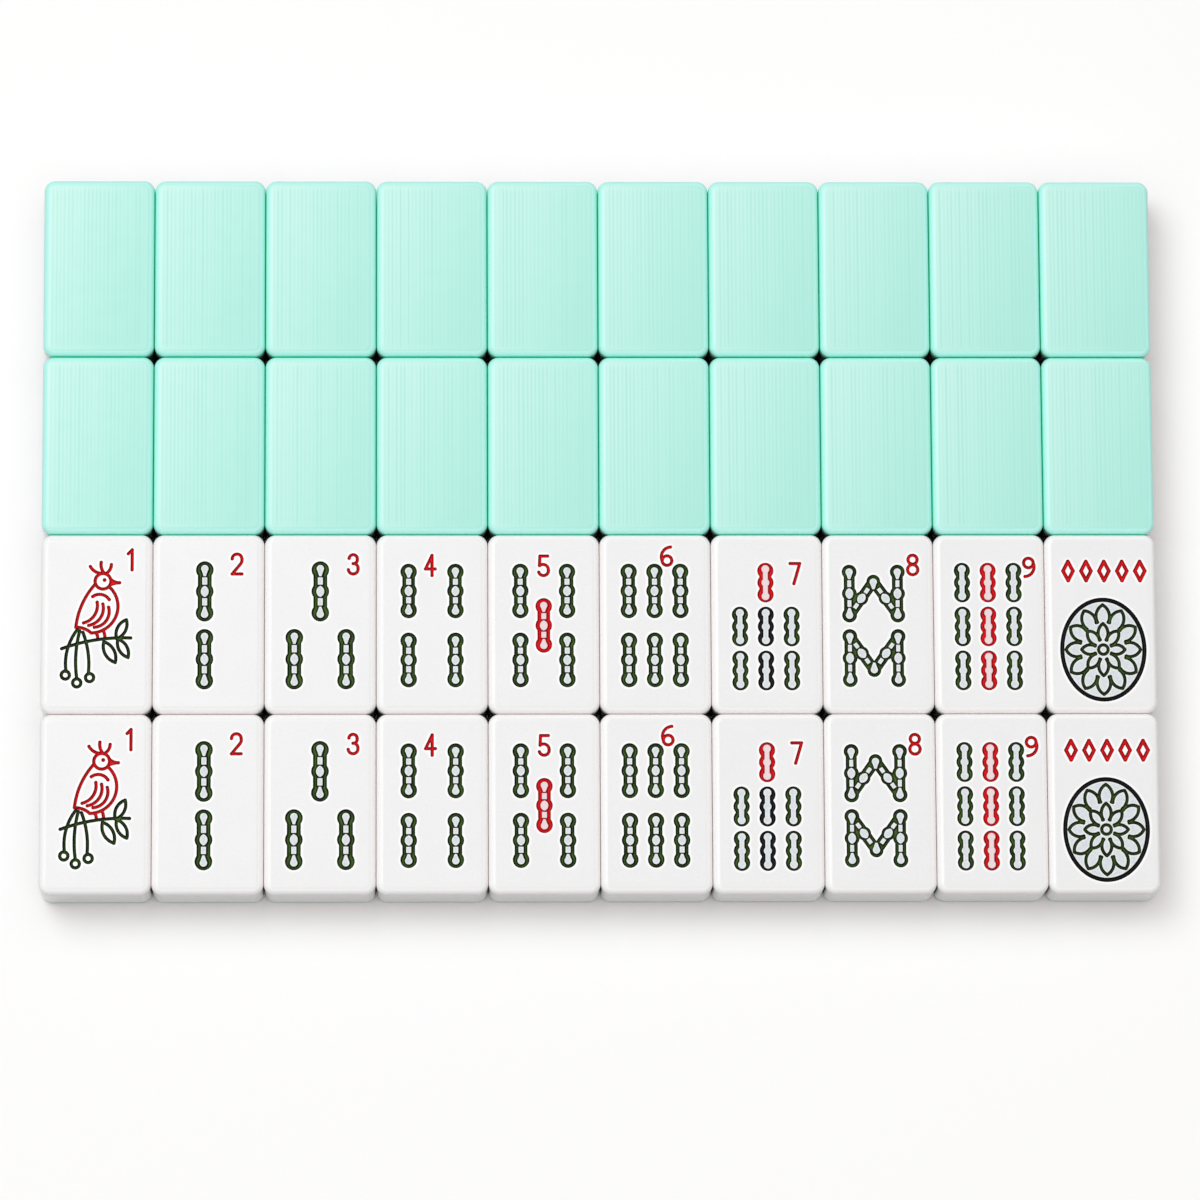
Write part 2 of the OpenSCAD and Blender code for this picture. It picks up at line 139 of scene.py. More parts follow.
# How far around itself a point of the resin looks for a neighbour or the table, and the shares of open room
# at which their nearness gives it the painted glow and painted shade of a gap wholly and no longer.
BETWEEN_TILES = {"Reach": 2.4 * MM, "Closed": 0.1, "Open": 0.7}
AT_THE_TABLE = {"Reach": 6.0 * MM, "Closed": 0.4, "Open": 0.95}
ROOM_SAMPLES = 8
# Smoothest and roughest places of each finish, and the heights and strengths of their relief.
WHITE_ROUGHNESS = [0.24, 0.36]
MINT_ROUGHNESS = [0.32, 0.46]
ENAMEL_ROUGHNESS = [0.25, 0.4]
WASH_ROUGHNESS = [0.28, 0.42]
RESIN_RELIEF = [0.02 * MM, 0.04]
PAINT_RELIEF = [0.01 * MM, 0.4]
RESIN_IOR = 1.5
PAINT_SHEEN = 0.08


def linear(red, green, blue):
    """A colour given in screen values from 0 to 255, as the linear light that a shader takes."""
    screen = np.array([red, green, blue]) / 255
    light = np.where(screen <= 0.04045, screen / 12.92, ((screen + 0.055) / 1.055) ** 2.4)
    return (*light.tolist(), 1.0)


# Colours of the resins: clear and cloudy, painted highlights on a lip and on the soft edge, and painted glow
# and shade in a gap.
WHITE_CLEAR = linear(233.5, 233.5, 234)
WHITE_CLOUDY = linear(235, 235, 235.5)
WHITE_LIP_HIGHLIGHT = linear(252, 252, 252)
WHITE_PAINTED_RIM_LIGHT = {"Edge highlight": linear(248, 248, 248), "Mouth glow": linear(246, 236, 236), "Deep shade": linear(36, 28, 27)}
# Mint body with painted light: paler on the upper left of a face, where the key lamp stands, fuller green to
# the lower right.
MINT_PAINTED_LIT = linear(195, 240.5, 230.5)
MINT_PAINTED_SHADED = linear(165, 229, 215.5)
MINT_CLOUDY = linear(184, 238, 227.5)
MINT_LINE = linear(159, 226, 211.5)
MINT_PAINTED_RIM_LIGHT = {"Edge highlight": linear(184, 249, 239), "Mouth glow": linear(46, 222, 180), "Deep shade": linear(2, 34, 22)}
# A mint layer under a front: its painted shade at the table, and the grey in which it lights the table.
MINT_FOOT_PAINTED_SHADE = {**MINT_PAINTED_RIM_LIGHT, "Deep shade": linear(140, 176, 166)}
MINT_BOUNCE = linear(222, 216, 212)
# Pale wash inside a red stick.
BLUSH = linear(238, 219, 222)

# Outlines of the paint


def islands(triangles, count):
    """A label for each corner, the same for all corners that triangles join.

    The lowest label found in a triangle passes to its three corners until no label changes.
    """
    labels = np.arange(count)
    while True:
        lowest = np.repeat(labels[triangles].min(axis=1), 3)
        passed = labels.copy()
        np.minimum.at(passed, triangles.ravel(), lowest)
        passed = passed[passed]
        if (passed == labels).all():
            return labels
        labels = passed


def sides_of(triangles):
    return np.concatenate([triangles[:, [0, 1]], triangles[:, [1, 2]], triangles[:, [2, 0]]])


def top_outlines(node):
    """Rims of a node's upper faces: for each island its straight pieces, as pairs of points seen from above.

    The triangles at the highest level are kept, corners at one place become one, and an edge that belongs
    to one triangle alone is a piece of the rim.
    """
    mesh = nodes[node].data
    mesh.calc_loop_triangles()
    corners = np.empty(len(mesh.vertices) * 3)
    mesh.vertices.foreach_get("co", corners)
    corners = corners.reshape(-1, 3)
    triangles = np.empty(len(mesh.loop_triangles) * 3, int)
    mesh.loop_triangles.foreach_get("vertices", triangles)
    triangles = triangles.reshape(-1, 3)
    top = corners[triangles][:, :, 2].min(axis=1) > corners[:, 2].max() - WELD
    places, number = np.unique(np.round(corners[:, :2] / WELD), axis=0, return_inverse=True)
    triangles = number.reshape(-1)[triangles[top]]
    sides, uses = np.unique(np.sort(sides_of(triangles), axis=1), axis=0, return_counts=True)
    rim = sides[(uses == 1) & (sides[:, 0] != sides[:, 1])]
    labels = islands(triangles, len(places))[rim[:, 0]]
    return [places[rim[labels == label]] * WELD for label in np.unique(labels)]


def cut_short(pieces, step):
    """Each straight piece cut into ceil(length / step) equal parts, whose ends lie at k / n of the way."""
    start, run = pieces[:, 0], pieces[:, 1] - pieces[:, 0]
    parts = np.ceil(np.linalg.norm(run, axis=1) / step).astype(int)
    whole = np.repeat(np.arange(len(pieces)), parts)
    k = np.arange(len(whole)) - np.repeat(np.cumsum(parts) - parts, parts)
    shares = np.stack([k, k + 1], axis=1) / parts[whole, None]
    return start[whole, None] + shares[:, :, None] * run[whole, None]


def inside(points, rim):
    """Even-odd rule: a point is inside where a ray towards +X crosses the rim an odd number of times."""
    (ax, ay), (bx, by) = rim[:, 0].T, rim[:, 1].T
    x, y = points[:, :1], points[:, 1:]
    rise = np.where(by == ay, 1, by - ay)
    crossed = ((ay > y) != (by > y)) & (x < ax + (y - ay) * (bx - ax) / rise)
    return crossed.sum(axis=1) % 2 == 1


def from_rim(points, rim):
    """The way to each point from the nearest place on the rim: its foot on a straight piece, held to that."""
    start, run = rim[:, 0], rim[:, 1] - rim[:, 0]
    away = points[:, None] - start
    share = np.clip((away * run).sum(axis=2) / (run**2).sum(axis=1), 0, 1)
    ways = away - share[:, :, None] * run
    nearest = (ways**2).sum(axis=2).argmin(axis=1)
    return ways[np.arange(len(points)), nearest]


def in_batches(measure, points, rim, size=2000):
    parts = np.array_split(points, max(1, math.ceil(len(points) / size)))
    return np.concatenate([measure(part, rim) for part in parts])


def hexagon_grid(low, high, step):
    """A honeycomb over a rectangle: rows step * sqrt(3) / 2 apart, every other one half a step aside."""
    rows = np.arange(low[1], high[1], step * math.sqrt(3) / 2)
    places = np.arange(low[0], high[0] + step, step)
    x = places[None, :] - (np.arange(len(rows)) % 2)[:, None] * step / 2
    y = np.broadcast_to(rows[:, None], x.shape)
    return np.stack([x.ravel(), y.ravel()], axis=1)


def rim_of(triangles):
    """Edges that belong to one triangle alone, each in its triangle's own turn."""
    sides = sides_of(triangles)
    _, first, uses = np.unique(np.sort(sides, axis=1), axis=0, return_index=True, return_counts=True)
    return sides[first[uses == 1]]


def unit(ways):
    return ways / np.maximum(np.linalg.norm(ways, axis=1, keepdims=True), NO_LENGTH)


def paint_sheet(rim, step, reach):
    """Triangles that fill one island's rim.

    The rim's own points and a honeycomb of points between them are joined by a Delaunay triangulation that
    keeps the rim. Also gives each point's distance to the rim as a share of reach, up to 1, and, for painted
    light, how far it lies towards the lit side of its stroke: 0.5 + 0.5 * (1 - share) *
    (SHADE_TO_LIT_DIRECTION . way to the rim), which is 0 on the side of a stroke painted in shade and 1 on
    its side painted as lit.
    """
    rim = cut_short(rim, step)
    ends, number = np.unique(np.round(rim.reshape(-1, 2) / WELD), axis=0, return_inverse=True)
    ends, sides = ends * WELD, number.reshape(-1, 2)
    sides = sides[sides[:, 0] != sides[:, 1]]
    rim = ends[sides]
    grid = hexagon_grid(ends.min(axis=0), ends.max(axis=0), step)
    grid = grid[in_batches(inside, grid, rim)]
    grid = grid[np.linalg.norm(in_batches(from_rim, grid, rim), axis=1) > step * RIM_CLEAR_SHARE]
    points = np.concatenate([ends, grid])
    found = delaunay_2d_cdt(points.tolist(), sides.tolist(), [], 0, WELD / 10)
    points, triangles = np.array(found[0]), np.array(found[2])
    triangles = triangles[in_batches(inside, points[triangles].mean(axis=1), rim)]
    a, b, c = (points[triangles[:, k]] for k in range(3))
    turned = (b - a)[:, 0] * (c - a)[:, 1] < (b - a)[:, 1] * (c - a)[:, 0]
    triangles[turned] = triangles[turned][:, ::-1]
    ways = in_batches(from_rim, points, rim)
    share = np.clip(np.linalg.norm(ways, axis=1) / reach, 0, 1)
    edge = rim_of(triangles)
    run = points[edge[:, 1]] - points[edge[:, 0]]
    inward = np.zeros_like(points)
    for end in (0, 1):
        np.add.at(inward, edge[:, end], np.column_stack([-run[:, 1], run[:, 0]]))
    inward = np.where((share > ON_RIM_SHARE)[:, None], unit(ways), unit(inward))
    # Painted light: 0 on a stroke's side under its groove's wall, 1 on its lit side.
    lit_side = 0.5 - 0.5 * (1 - share) * (inward @ SHADE_TO_LIT_DIRECTION)
    return points, triangles, share, lit_side


def lies_in(outline, boxes):
    middle = (outline.min(axis=(0, 1)) + outline.max(axis=(0, 1))) / 2
    return any((low < middle).all() and (middle < high).all() for low, high in boxes)


def paint_body(node, name, step, rim_drop, dip, reach, reds=()):
    """Paint of one colour in one row of tiles, as closed bodies.

    Its top lies rim_drop under the face along the rim and sinks by dip * s * (2 - s), where s is the
    distance to the rim as a share of reach, up to 1. Upright walls along the rim join it to a flat underside.
    An island whose middle lies in one of the boxes of red paint blushes.
    """
    points, triangles, share, lit_side, blush, count = [], [], [], [], [], 0
    for outline in top_outlines(node):
        sheet = paint_sheet(outline, step, reach)
        points.append(sheet[0])
        triangles.append(sheet[1] + count)
        share.append(sheet[2])
        lit_side.append(sheet[3])
        blush.append(np.full(len(sheet[0]), float(lies_in(outline, reds))))
        count += len(sheet[0])
    parts = (points, triangles, share, lit_side, blush)
    points, triangles, share, lit_side, blush = (np.concatenate(part) for part in parts)
    upper = FACE_LEVEL - rim_drop - dip * share * (2 - share)
    lower = np.full(count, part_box(node)[0].z)
    vertices = np.concatenate([np.column_stack([points, upper]), np.column_stack([points, lower])])
    rim = rim_of(triangles)
    walls_a = np.column_stack([rim[:, 1], rim[:, 0], rim[:, 0] + count])
    walls_b = np.column_stack([rim[:, 1], rim[:, 0] + count, rim[:, 1] + count])
    faces = np.concatenate([triangles, triangles[:, ::-1] + count, walls_a, walls_b])
    mesh = bpy.data.meshes.new(name)
    mesh.from_pydata(vertices.tolist(), [], faces.tolist())
    mesh.polygons.foreach_set("use_smooth", np.arange(len(faces)) < len(triangles))
    for attribute, values in (("groove", share), ("lit_side", lit_side), ("blush", blush)):
        slot = mesh.attributes.new(attribute, "FLOAT", "POINT")
        slot.data.foreach_set("value", np.concatenate([values, values]).astype(np.float32))
    piece = bpy.data.objects.new(name, mesh)
    bpy.context.scene.collection.objects.link(piece)
    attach(piece, BODY)
    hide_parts(node)
    return piece


# Shader building blocks


class Sketch:
    """Adds nodes to a node tree; an input is given as a value or as another node's output."""

    def __init__(self, tree):
        self.tree = tree

    def add(self, kind, inputs=None, **settings):
        node = self.tree.nodes.new(kind)
        for name, value in settings.items():
            setattr(node, name, value)
        for socket, value in (inputs or {}).items():
            self.feed(node.inputs[socket], value)
        return node

    def feed(self, socket, value):
        if isinstance(value, bpy.types.NodeSocket):
            self.tree.links.new(value, socket)
        else:
            socket.default_value = value

    def group(self, group, inputs):
        return self.add("ShaderNodeGroup", inputs, node_tree=group).outputs

    def math(self, operation, a, b=0.0, clamp=False):
        return self.add("ShaderNodeMath", {0: a, 1: b}, operation=operation, use_clamp=clamp).outputs[0]

    def mix(self, share, first, second, blend="MIX"):
        inputs = {0: share, 6: first, 7: second}
        return self.add("ShaderNodeMix", inputs, data_type="RGBA", blend_type=blend).outputs[2]

    def noise(self, place, scale, detail=2.0, roughness=0.5):
        node = self.add(
            "ShaderNodeTexNoise",
            {"Vector": place, "Scale": scale, "Detail": detail, "Roughness": roughness},
        )
        return node.outputs[0]

    def span(self, value, low, high, first, last):
        """value from low to high becomes first to last, eased at both ends and held outside."""
        node = self.add(
            "ShaderNodeMapRange",
            {"Value": value, "From Min": low, "From Max": high, "To Min": first, "To Max": last},
            interpolation_type="SMOOTHSTEP",
        )
        return node.outputs[0]


def new_group(name, inputs, outputs):
    """An empty shader group with named sockets; gives its sketch, its input node and its output node."""
    group = bpy.data.node_groups.new(name, "ShaderNodeTree")
    for side, sockets in (("INPUT", inputs), ("OUTPUT", outputs)):
        for socket, kind in sockets.items():
            group.interface.new_socket(socket, in_out=side, socket_type=f"NodeSocket{kind}")
    sketch = Sketch(group)
    return sketch, sketch.add("NodeGroupInput").outputs, sketch.add("NodeGroupOutput")


def tile_place_group():
    """Where a point lies on its own tile: across and along from -1 to 1, the tile's number, and a mask of
    the flat face that falls to 0 towards the soft edges."""
    sketch, given, out = new_group(
        "tile_place",
        {"Place": "Vector", "Pitch across": "Float", "Pitch along": "Float"},
        {"Across": "Float", "Along": "Float", "Number": "Float", "Flat": "Float"},
    )
    parts = sketch.add("ShaderNodeSeparateXYZ", {0: given["Place"]}).outputs
    shares, whole = [], []
    for part, pitch, count in ((parts[0], "Pitch across", COLUMNS), (parts[1], "Pitch along", ROWS)):
        tiles = sketch.math("ADD", sketch.math("DIVIDE", part, given[pitch]), count / 2)
        whole.append(sketch.math("FLOOR", tiles))
        inner = sketch.math("SUBTRACT", sketch.math("FRACT", tiles), 0.5)
        shares.append(sketch.math("MULTIPLY", inner, 2.0))
    number = sketch.math("ADD", whole[0], sketch.math("MULTIPLY", whole[1], COLUMNS))
    flat_across = sketch.span(sketch.math("ABSOLUTE", shares[0]), *FLAT_ACROSS_SHARES, 1.0, 0.0)
    flat_along = sketch.span(sketch.math("ABSOLUTE", shares[1]), *FLAT_ALONG_SHARES, 1.0, 0.0)
    for socket, value in (
        ("Across", shares[0]),
        ("Along", shares[1]),
        ("Number", number),
        ("Flat", sketch.math("MULTIPLY", flat_across, flat_along)),
    ):
        sketch.feed(out.inputs[socket], value)
    return sketch.tree


def cast_resin_group():
    """Clouds deep in a cast resin, and on its flat face the fine waves of its polish and hairline rubs."""
    sketch, given, out = new_group(
        "cast_resin",
        {"Place": "Vector", "Number": "Float", "Flat": "Float"},
        {"Cloud": "Float", "Polish": "Float", "Height": "Float"},
    )
    depth = sketch.math("MULTIPLY", given["Number"], GRAIN_STEP)
    shift = sketch.add("ShaderNodeCombineXYZ", {2: depth}).outputs[0]
    place = sketch.add("ShaderNodeVectorMath", {0: given["Place"], 1: shift}, operation="ADD").outputs[0]
    cloud = sketch.noise(place, CLOUDS_PER_M, 3.0, 0.55)
    waves = sketch.noise(place, WAVES_PER_M, 2.0)
    turned = sketch.add("ShaderNodeMapping", {0: place, 2: RUB_TURN, 3: RUBS_PER_M}).outputs[0]
    rubs = sketch.span(sketch.noise(turned, 1.0, 1.0), 0.62, 0.78, 0.0, 1.0)
    polish = sketch.math("ADD", sketch.math("MULTIPLY", waves, 0.7), sketch.math("MULTIPLY", rubs, 0.3))
    sketch.feed(out.inputs["Cloud"], cloud)
    sketch.feed(out.inputs["Polish"], sketch.math("MULTIPLY", polish, given["Flat"]))
    sketch.feed(out.inputs["Height"], sketch.math("MULTIPLY", waves, given["Flat"]))
    return sketch.tree


def pooled_paint_with_painted_light_group():
    """Paint in its groove, in three colours by level, with painted light.

    The level rises across a stroke by Side share towards its lit side, so the side under its groove's wall
    has painted shade, and towards the middle of a groove by Depth share, which on a stroke gives painted
    shade at the rims and a painted highlight along the middle. Pools change it along the stroke, and the
    brush leaves fine streaks.
    """
    sketch, given, out = new_group(
        "pooled_paint_with_painted_light",
        {
            "Place": "Vector",
            "Groove": "Float",
            "Lit side": "Float",
            "Side share": "Float",
            "Depth share": "Float",
            "Low colour": "Color",
            "Body": "Color",
            "High colour": "Color",
        },
        {"Colour": "Color", "Polish": "Float", "Height": "Float"},
    )
    streaks = sketch.noise(given["Place"], STREAKS_PER_M, 3.0, 0.6)
    pools = sketch.noise(given["Place"], POOLS_PER_M, 2.0)
    # Painted light: the level rises towards the lit side of a stroke and towards the middle of its groove.
    across = sketch.math("MULTIPLY", given["Lit side"], given["Side share"])
    inwards = sketch.math("MULTIPLY", given["Groove"], given["Depth share"])
    along = sketch.math("MULTIPLY", sketch.math("SUBTRACT", pools, 0.5), 0.5)
    level = sketch.math("ADD", sketch.math("ADD", across, inwards), along)
    colour = sketch.mix(sketch.span(level, *LOW_TO_BODY, 0.0, 1.0), given["Low colour"], given["Body"])
    colour = sketch.mix(sketch.span(level, *BODY_TO_HIGH, 0.0, 1.0), colour, given["High colour"])
    shade = sketch.span(streaks, 0.3, 0.7, 0.88, 1.0)
    grey = sketch.add("ShaderNodeCombineColor", {0: shade, 1: shade, 2: shade}).outputs[0]
    sketch.feed(out.inputs["Colour"], sketch.mix(1.0, colour, grey, "MULTIPLY"))
    sketch.feed(out.inputs["Polish"], sketch.span(pools, 0.2, 0.8, 0.0, 1.0))
    sketch.feed(out.inputs["Height"], streaks)
    return sketch.tree


def painted_edge_and_gap_light_group():
    """Painted light on a resin near the rim of a tile.

    It turns to Edge highlight, a painted highlight, on the soft edge around the face. Where something within
    Reach closes a point in, it turns to Mouth glow, a painted glow, close under the face, and to Deep shade,
    painted shade, farther down.
    """
    sketch, given, out = new_group(
        "painted_edge_and_gap_light",
        {
            "Place": "Vector",
            "Face level": "Float",
            "Body": "Color",
            "Edge highlight": "Color",
            "Mouth glow": "Color",
            "Deep shade": "Color",
            "Reach": "Float",
            "Closed": "Float",
            "Open": "Float",
        },
        {"Colour": "Color"},
    )
    level = sketch.add("ShaderNodeSeparateXYZ", {0: given["Place"]}).outputs[2]
    drop = sketch.math("SUBTRACT", given["Face level"], level)
    # Painted highlight on the soft edge around the face.
    begins, whole, fades, ends = EDGE_HIGHLIGHT_DROPS
    begun = sketch.span(drop, begins, whole, 0.0, 1.0)
    edge = sketch.math("MULTIPLY", begun, sketch.span(drop, fades, ends, 1.0, 0.0))
    # Painted glow close under the face and painted shade farther down, where a neighbour or the table closes
    # a point in.
    room = sketch.add("ShaderNodeAmbientOcclusion", {"Distance": given["Reach"]}, samples=ROOM_SAMPLES)
    gap = sketch.span(room.outputs["AO"], given["Closed"], given["Open"], 1.0, 0.0)
    far_down = sketch.span(drop, *GAP_GLOW_TO_SHADE_DROPS, 0.0, 1.0)
    colour = sketch.mix(edge, given["Body"], given["Edge highlight"])
    colour = sketch.mix(gap, colour, sketch.mix(far_down, given["Mouth glow"], given["Deep shade"]))
    sketch.feed(out.inputs["Colour"], colour)
    return sketch.tree


TILE_PLACE = tile_place_group()
CAST_RESIN = cast_resin_group()
POOLED_PAINT_WITH_PAINTED_LIGHT = pooled_paint_with_painted_light_group()
PAINTED_EDGE_AND_GAP_LIGHT = painted_edge_and_gap_light_group()


def new_material(name):
    """A material with one Principled shader; gives the material, its sketch and the shader's inputs."""
    material = bpy.data.materials.new(name)
    material.use_nodes = True
    sketch = Sketch(material.node_tree)
    material.node_tree.nodes.clear()
    shader = sketch.add("ShaderNodeBsdfPrincipled")
    output = sketch.add("ShaderNodeOutputMaterial", {"Surface": shader.outputs[0]})
    output.is_active_output = True
    return material, sketch, shader.inputs


def resin_basis(sketch):
    """The point's place in the object and on its tile, and the grain of the resin there."""
    place = sketch.add("ShaderNodeTexCoord").outputs["Object"]
    pitches = {"Pitch across": PITCH_ACROSS, "Pitch along": PITCH_ALONG}
    tile = sketch.group(TILE_PLACE, {"Place": place, **pitches})
    grain = sketch.group(CAST_RESIN, {"Place": place, "Number": tile["Number"], "Flat": tile["Flat"]})
    return place, tile, grain


def painted_rim_light(sketch, place, body, colours, nearness):
    """The resin's body colour with its painted highlight on the soft edge and its painted glow and shade in
    the gaps.
    """
    given = {"Place": place, "Face level": FACE_LEVEL, "Body": body, **colours, **nearness}
    return sketch.group(PAINTED_EDGE_AND_GAP_LIGHT, given)["Colour"]


def relief(sketch, height, distance, strength):
    node = sketch.add("ShaderNodeBump", {"Height": height, "Distance": distance, "Strength": strength})
    return node.outputs[0]


def white_resin():
    """Polished white resin, faintly cloudy, with a painted highlight on the lips of the recesses, and painted
    light on its soft edges and in its gaps.
    """
    material, sketch, shader = new_material("white_resin")
    place, _, grain = resin_basis(sketch)
    cloud = sketch.span(grain["Cloud"], 0.3, 0.7, 0.0, 1.0)
    body = sketch.mix(cloud, WHITE_CLEAR, WHITE_CLOUDY)
    # Painted highlight: the resin turns whiter on the lip around each recess.
    within = {"inside": True, "only_local": True, "samples": ROOM_SAMPLES}
    depth = sketch.add("ShaderNodeAmbientOcclusion", {"Distance": LIP_HIGHLIGHT_REACH}, **within)
    lip_highlight = sketch.span(depth.outputs["AO"], 0.72, 0.98, 1.0, 0.0)
    body = sketch.mix(lip_highlight, body, WHITE_LIP_HIGHLIGHT)
    sketch.feed(shader["Base Color"], painted_rim_light(sketch, place, body, WHITE_PAINTED_RIM_LIGHT, BETWEEN_TILES))
    sketch.feed(shader["Roughness"], sketch.span(grain["Polish"], 0.1, 0.8, *WHITE_ROUGHNESS))
    sketch.feed(shader["Normal"], relief(sketch, grain["Height"], *RESIN_RELIEF))
    sketch.feed(shader["IOR"], RESIN_IOR)
    return material


def mint_resin(name, lies_under):
    """Satin mint resin with faint upright lines that fade towards the soft edges.

    Painted light: the face is paler towards the upper left, where the key lamp stands, and fuller green
    towards the lower right. The soft edge has a painted highlight, and a gap has a painted green glow for
    light passed through the resin, with painted shade deep down. A layer that lies under a front has painted
    shade at the table, and lights the table in grey.
    """
    material, sketch, shader = new_material(name)
    place, tile, grain = resin_basis(sketch)
    across = sketch.add("ShaderNodeSeparateXYZ", {0: place}).outputs[0]
    lane_across = sketch.math("MULTIPLY", across, LANES_PER_M)
    lane_start = sketch.math("MULTIPLY", tile["Number"], LANE_STEP)
    lane = sketch.add("ShaderNodeCombineXYZ", {0: lane_across, 2: lane_start}).outputs[0]
    wander = sketch.noise(lane, 1.0, 1.0)
    turn = sketch.math("MULTIPLY", across, 2 * math.pi / LINE_PITCH)
    turn = sketch.math("ADD", turn, sketch.math("MULTIPLY", wander, LINE_WANDER))
    wave = sketch.span(sketch.math("SINE", turn), -1.0, 1.0, 0.0, 1.0)
    strong = sketch.span(sketch.noise(lane, 2.3, 1.0), 0.3, 0.7, 0.3, 1.0)
    lines = sketch.math("MULTIPLY", sketch.math("MULTIPLY", wave, strong), tile["Flat"])
    cloud = sketch.span(grain["Cloud"], 0.3, 0.7, 0.0, 1.0)
    # Painted light: the face turns from paler on its upper left, towards the key lamp, to fuller green on its
    # lower right.
    falling = sketch.math("SUBTRACT", tile["Across"], sketch.math("MULTIPLY", tile["Along"], 0.6))
    painted_shade = sketch.span(falling, -1.6, 1.6, 0.0, 1.0)
    body = sketch.mix(painted_shade, MINT_PAINTED_LIT, MINT_PAINTED_SHADED)
    body = sketch.mix(sketch.math("MULTIPLY", cloud, 0.1), body, MINT_CLOUDY)
    body = sketch.mix(sketch.math("MULTIPLY", lines, 0.7), body, MINT_LINE)
    if lies_under:
        # Painted shade: a layer under a front turns dull grey-mint where the table closes it in.
        body = painted_rim_light(sketch, place, body, MINT_FOOT_PAINTED_SHADE, AT_THE_TABLE)
        bounced = sketch.add("ShaderNodeLightPath").outputs["Is Diffuse Ray"]
        sketch.feed(shader["Base Color"], sketch.mix(bounced, body, MINT_BOUNCE))
    else:
        sketch.feed(shader["Base Color"], painted_rim_light(sketch, place, body, MINT_PAINTED_RIM_LIGHT, BETWEEN_TILES))
    sketch.feed(shader["Roughness"], sketch.span(grain["Polish"], 0.1, 0.8, *MINT_ROUGHNESS))
    height = sketch.math("ADD", grain["Height"], sketch.math("MULTIPLY", lines, 0.3))
    sketch.feed(shader["Normal"], relief(sketch, height, *RESIN_RELIEF))
    sketch.feed(shader["IOR"], RESIN_IOR)
    return material


def enamel(name, colours, shares, roughness):
    """Paint in a groove, from its low over its body colour to its high colour, on a stroke painted shade and
    a painted highlight; it blushes inside red.
    """
    material, sketch, shader = new_material(name)
    given = {
        "Place": sketch.add("ShaderNodeTexCoord").outputs["Object"],
        "Groove": sketch.add("ShaderNodeAttribute", attribute_name="groove").outputs["Fac"],
        "Lit side": sketch.add("ShaderNodeAttribute", attribute_name="lit_side").outputs["Fac"],
        **{level: linear(*colour) for level, colour in zip(("Low colour", "Body", "High colour"), colours)},
        **dict(zip(("Side share", "Depth share"), shares)),
    }
    paint = sketch.group(POOLED_PAINT_WITH_PAINTED_LIGHT, given)
    blush = sketch.add("ShaderNodeAttribute", attribute_name="blush").outputs["Fac"]
    sketch.feed(shader["Base Color"], sketch.mix(blush, paint["Colour"], BLUSH))
    sketch.feed(shader["Roughness"], sketch.span(paint["Polish"], 0.0, 1.0, *roughness))
    sketch.feed(shader["Normal"], relief(sketch, paint["Height"], *PAINT_RELIEF))
    sketch.feed(shader["Specular IOR Level"], PAINT_SHEEN)
    return material


WHITE_RESIN = white_resin()
MINT_RESIN = mint_resin("mint_resin", lies_under=False)
MINT_UNDER = mint_resin("mint_resin_under", lies_under=True)
# How much of a paint's level comes from the lit side of the stroke, and how much from the middle of its
# groove: painted light.
STROKE_SHARES = (0.4, 0.65)
WASH_SHARES = (0.0, 1.0)
# Low, body and high colour of each paint, in screen values: on a stroke, painted shade, its body colour and a
# painted highlight.
# The wash is near white at its rim and greyer towards its middle.
STROKE_COLOURS = {
    "green_paint": [(2, 6, 0), (26, 48, 4), (66, 98, 28)],
    "red_paint": [(146, 0, 4), (198, 2, 12), (228, 18, 30)],
    "navy_paint": [(0, 0, 2), (4, 4, 8), (20, 21, 27)],
    "black_paint": [(0, 0, 0), (2, 2, 2), (9, 10, 10)],
}
WASH_COLOURS = [(247, 249, 250), (236, 241, 243), (223, 230, 234)]
STROKE_PAINTS = {
    name: enamel(name, colours, STROKE_SHARES, ENAMEL_ROUGHNESS) for name, colours in STROKE_COLOURS.items()
}
PALE_WASH = enamel("pale_paint", WASH_COLOURS, WASH_SHARES, WASH_ROUGHNESS)


def dress(piece, material):
    piece.data.materials.clear()
    piece.data.materials.append(material)


for node in BACKS:
    dress(nodes[node], MINT_RESIN)
for node in LOWER_BACKS:
    dress(nodes[node], MINT_UNDER)
for node in FRONTS + LOWER_FRONTS:
    dress(nodes[node], WHITE_RESIN)

for row in FACE_UP_ROWS:
    for paint, material in STROKE_PAINTS.items():
        body = paint_body(
            f"{paint}_{row}", f"{paint}_groove_{row}", STROKE_STEP, RIM_DROP, GROOVE_DIP, GROOVE_REACH
        )
        dress(body, material)
    reds = [(rim.min(axis=(0, 1)), rim.max(axis=(0, 1))) for rim in top_outlines(f"red_paint_{row}")]
    wash = paint_body(
        f"pale_paint_{row}", f"pale_paint_wash_{row}", WASH_STEP, WASH_RIM_DROP, WASH_DIP, WASH_REACH, reds
    )
    dress(wash, PALE_WASH)


# Stage, light and camera

FLOOR_REACH = 1.0
FLOOR_CLEARANCE = 0.02 * MM
FLOOR_GREY = linear(209, 209, 209)
PAPER_WHITES = [linear(254, 254, 254), linear(255, 255, 255)]


def seen_rays(sketch):
    """1 for rays that show the stage itself: from the camera, off a shine or through something clear."""
    light = sketch.add("ShaderNodeLightPath").outputs
    seen = sketch.math("MAXIMUM", light["Is Camera Ray"], light["Is Glossy Ray"])
    return sketch.math("MAXIMUM", seen, light["Is Transmission Ray"])


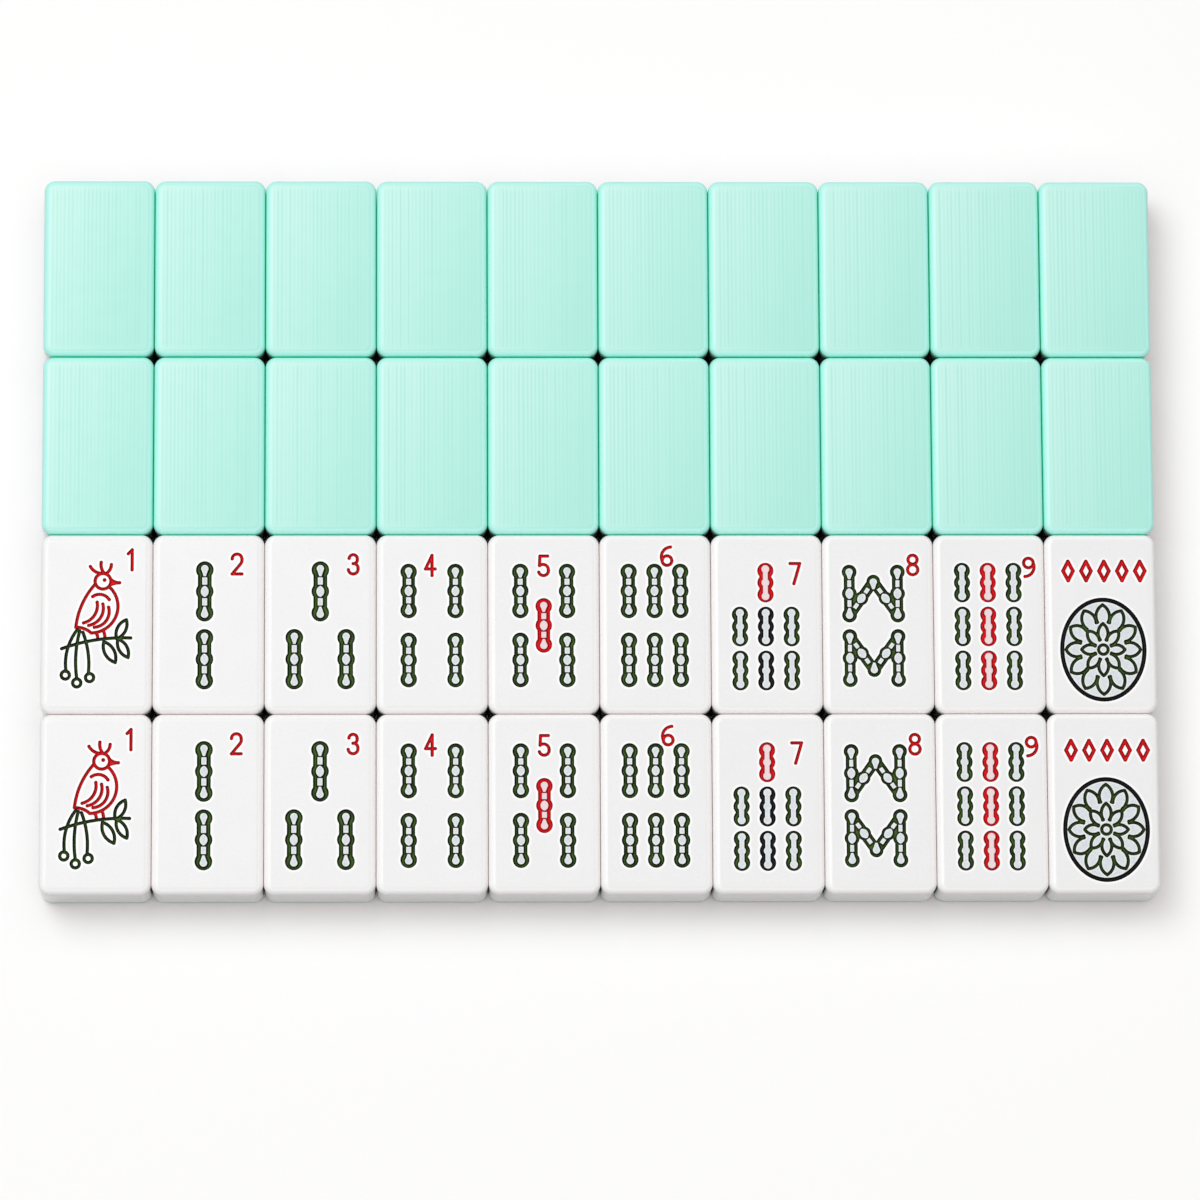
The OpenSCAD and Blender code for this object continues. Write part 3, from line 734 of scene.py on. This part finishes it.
def floor():
    """A wide flat square just under the tiles, of grey paper that the camera sees as white."""
    corners = np.array([[-1, -1], [1, -1], [1, 1], [-1, 1]]) * FLOOR_REACH
    level = np.full((4, 1), TABLE_LEVEL - FLOOR_CLEARANCE)
    mesh = bpy.data.meshes.new("floor")
    mesh.from_pydata(np.hstack([corners, level]).tolist(), [], [[0, 1, 2, 3]])
    piece = bpy.data.objects.new("floor", mesh)
    bpy.context.scene.collection.objects.link(piece)
    material, sketch, shader = new_material("floor_paper")
    place = sketch.add("ShaderNodeTexCoord").outputs["Object"]
    paper = sketch.mix(sketch.noise(place, FLECKS_PER_M), *PAPER_WHITES)
    sketch.feed(shader["Base Color"], sketch.mix(seen_rays(sketch), FLOOR_GREY, paper))
    sketch.feed(shader["Roughness"], 0.9)
    sketch.feed(shader["Specular IOR Level"], 0.0)
    mesh.materials.append(material)


def softbox(name, place, size, watts, colour):
    """A square lamp that looks at the middle of the tiles."""
    lamp = bpy.data.lights.new(name, "AREA")
    lamp.shape = "SQUARE"
    lamp.size = size
    lamp.energy = watts
    lamp.color = colour
    holder = bpy.data.objects.new(name, lamp)
    holder.location = place
    holder.rotation_euler = (-holder.location).to_track_quat("-Z", "Y").to_euler()
    bpy.context.scene.collection.objects.link(holder)


def sky(strength, colour):
    """Light from all around in one colour, with plain white to be seen behind the floor."""
    world = bpy.data.worlds.new("studio")
    world.use_nodes = True
    sketch = Sketch(world.node_tree)
    room = (*(strength * part for part in colour), 1.0)
    background = world.node_tree.nodes["Background"].inputs
    sketch.feed(background["Color"], sketch.mix(seen_rays(sketch), room, PAPER_WHITES[1]))
    sketch.feed(background["Strength"], 1.0)
    bpy.context.scene.world = world


CAMERA_PLACE = (-33.96 * MM, -231.24 * MM, 1260.22 * MM)
CAMERA_TURN = (math.radians(9.96), math.radians(-1.54), math.radians(-0.02))
LENS_MM = 210.0
SENSOR_MM = 36.0


def photo_camera():
    data = bpy.data.cameras.new("photo_camera")
    data.lens = LENS_MM
    data.sensor_width = SENSOR_MM
    holder = bpy.data.objects.new("photo_camera", data)
    holder.location = CAMERA_PLACE
    holder.rotation_mode = "ZYX"
    holder.rotation_euler = CAMERA_TURN
    bpy.context.scene.collection.objects.link(holder)
    bpy.context.scene.camera = holder


# A cool lamp in a warm room: together white on the faces, and warm where only the room's light reaches.
WARM = (1.0, 0.965, 0.95)
COOL = (0.916, 0.975, 1.0)
SKY_STRENGTH = 0.33
TOP_LIGHT = {"place": (0.0, 0.0, 2.2), "size": 4.0, "watts": 38.0, "colour": WARM}
KEY_LIGHT = {"place": (-0.9, 0.75, 2.6), "size": 1.6, "watts": 29.5, "colour": COOL}

floor()
sky(SKY_STRENGTH, WARM)
softbox("top_light", **TOP_LIGHT)
softbox("key_light", **KEY_LIGHT)
photo_camera()
bpy.context.scene.view_settings.view_transform = "Standard"
